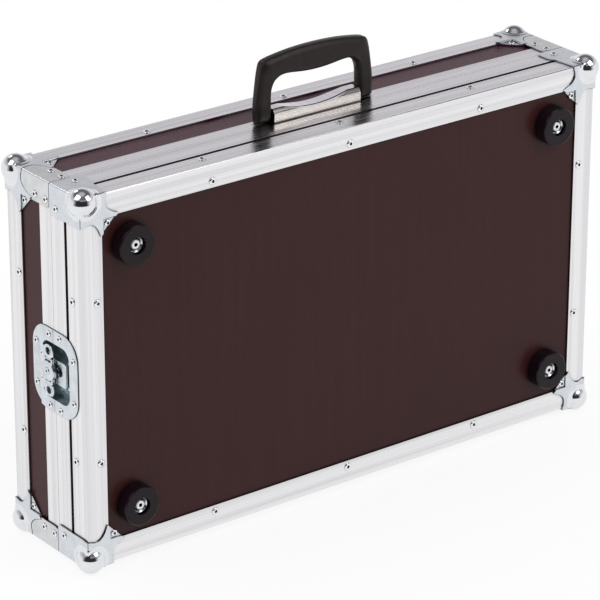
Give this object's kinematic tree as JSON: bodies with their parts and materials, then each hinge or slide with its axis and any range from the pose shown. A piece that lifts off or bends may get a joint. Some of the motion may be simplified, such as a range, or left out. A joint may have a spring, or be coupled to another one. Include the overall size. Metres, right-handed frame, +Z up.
{
  "type": "keyboard flight case",
  "caption": "Shallow flight case with a lift-off lid, aluminium edging, ball corners, rubber feet, recessed butterfly latches and a folding carry handle.",
  "frame": {"origin": "centre of the bounding box's underside, with the case standing on its long rear edge", "axes": "+X along the case, +Y through its depth from the feet to the lid's back, +Z up towards the handle"},
  "size_m": [0.591, 0.1326, 0.4215],
  "materials": {
    "aluminium_profile": "ribbed satin",
    "handle_rail_aluminium": "satin",
    "zinc_corner": "bright zinc plated",
    "zinc_latch": "bright zinc plated",
    "plated_steel": "plated",
    "phenolic_plywood": "brown phenolic film, satin",
    "rubber": "matt",
    "grip_plastic": "satin",
    "foam": "open-cell foam"
  },
  "bodies": {
    "base": {"base_panel": "phenolic_plywood", "base_board_top": "phenolic_plywood", "base_board_bottom": "phenolic_plywood", "base_board_left": "phenolic_plywood", "base_board_right": "phenolic_plywood", "base_edge_profile_top": "aluminium_profile", "base_edge_profile_bottom": "aluminium_profile", "base_edge_profile_left": "aluminium_profile", "base_edge_profile_right": "aluminium_profile", "base_closing_profile_top": "aluminium_profile", "base_closing_profile_bottom": "aluminium_profile", "base_closing_profile_left": "aluminium_profile", "base_closing_profile_right": "aluminium_profile", "base_ball_corner_top_left": "zinc_corner", "base_ball_corner_top_right": "zinc_corner", "base_ball_corner_bottom_left": "zinc_corner", "base_ball_corner_bottom_right": "zinc_corner", "foot_top_left": "rubber", "foot_top_right": "rubber", "foot_bottom_left": "rubber", "foot_bottom_right": "rubber", "base_foam_lining": "foam", "latch_dish_base_left": "zinc_latch", "latch_dish_base_right": "zinc_latch"},
    "lid": {"lid_panel": "phenolic_plywood", "lid_board_top": "phenolic_plywood", "lid_board_bottom": "phenolic_plywood", "lid_board_left": "phenolic_plywood", "lid_board_right": "phenolic_plywood", "lid_edge_profile_top": "aluminium_profile", "lid_edge_profile_bottom": "aluminium_profile", "lid_edge_profile_left": "aluminium_profile", "lid_edge_profile_right": "aluminium_profile", "lid_closing_profile_top": "aluminium_profile", "lid_closing_profile_bottom": "aluminium_profile", "lid_closing_profile_left": "aluminium_profile", "lid_closing_profile_right": "aluminium_profile", "lid_ball_corner_top_left": "zinc_corner", "lid_ball_corner_top_right": "zinc_corner", "lid_ball_corner_bottom_left": "zinc_corner", "lid_ball_corner_bottom_right": "zinc_corner", "lid_corner_brace_top_left": "zinc_corner", "lid_corner_brace_top_right": "zinc_corner", "lid_corner_brace_bottom_left": "zinc_corner", "lid_corner_brace_bottom_right": "zinc_corner", "lid_foam_lining": "foam", "latch_dish_lid_left": "zinc_latch", "latch_dish_lid_right": "zinc_latch", "handle_rail": "handle_rail_aluminium", "handle_pin_left": "plated_steel", "handle_pin_right": "plated_steel"},
    "handle": {"handle_grip": "grip_plastic"},
    "key_left": {"latch_key_left": "zinc_latch"},
    "claw_left": {"latch_claw_left": "plated_steel"},
    "wing_upper_left": {"latch_wing_upper_left": "zinc_latch"},
    "wing_lower_left": {"latch_wing_lower_left": "zinc_latch"},
    "key_right": {"latch_key_right": "zinc_latch"},
    "claw_right": {"latch_claw_right": "plated_steel"},
    "wing_upper_right": {"latch_wing_upper_right": "zinc_latch"},
    "wing_lower_right": {"latch_wing_lower_right": "zinc_latch"}
  },
  "joints": [
    {"name": "lid_lift", "type": "slide", "parent": "base", "child": "lid", "axis": [0, 1, 0], "range_m": [0, 0.12]},
    {"name": "handle_fold", "type": "hinge", "parent": "lid", "child": "handle", "pos_m": [0, 0, 0.3638], "axis": [1, 0, 0], "range_deg": [-86, 86]},
    {"name": "key_turn_left", "type": "hinge", "parent": "lid", "child": "key_left", "pos_m": [-0.2885, -0.00435, 0.182], "axis": [-1, 0, 0], "range_deg": [0, 180]},
    {"name": "claw_slide_left", "type": "slide", "parent": "lid", "child": "claw_left", "axis": [0, -1, 0], "range_m": [0, 0.004]},
    {"name": "wing_fold_upper_left", "type": "hinge", "parent": "key_left", "child": "wing_upper_left", "pos_m": [-0.2915, -0.00435, 0.1929], "axis": [0, -1, 0], "range_deg": [0, 90]},
    {"name": "wing_fold_lower_left", "type": "hinge", "parent": "key_left", "child": "wing_lower_left", "pos_m": [-0.2915, -0.00435, 0.1711], "axis": [0, 1, 0], "range_deg": [0, 90]},
    {"name": "key_turn_right", "type": "hinge", "parent": "lid", "child": "key_right", "pos_m": [0.2885, -0.00435, 0.182], "axis": [1, 0, 0], "range_deg": [0, 180]},
    {"name": "claw_slide_right", "type": "slide", "parent": "lid", "child": "claw_right", "axis": [0, -1, 0], "range_m": [0, 0.004]},
    {"name": "wing_fold_upper_right", "type": "hinge", "parent": "key_right", "child": "wing_upper_right", "pos_m": [0.2915, -0.00435, 0.1929], "axis": [0, 1, 0], "range_deg": [0, 90]},
    {"name": "wing_fold_lower_right", "type": "hinge", "parent": "key_right", "child": "wing_lower_right", "pos_m": [0.2915, -0.00435, 0.1711], "axis": [0, -1, 0], "range_deg": [0, 90]}
  ],
  "couplings": [
    {"joint": "claw_slide_left", "follows": "key_turn_left", "m_per_rad": 0.0012732},
    {"joint": "claw_slide_right", "follows": "key_turn_right", "m_per_rad": 0.0012732}
  ]
}
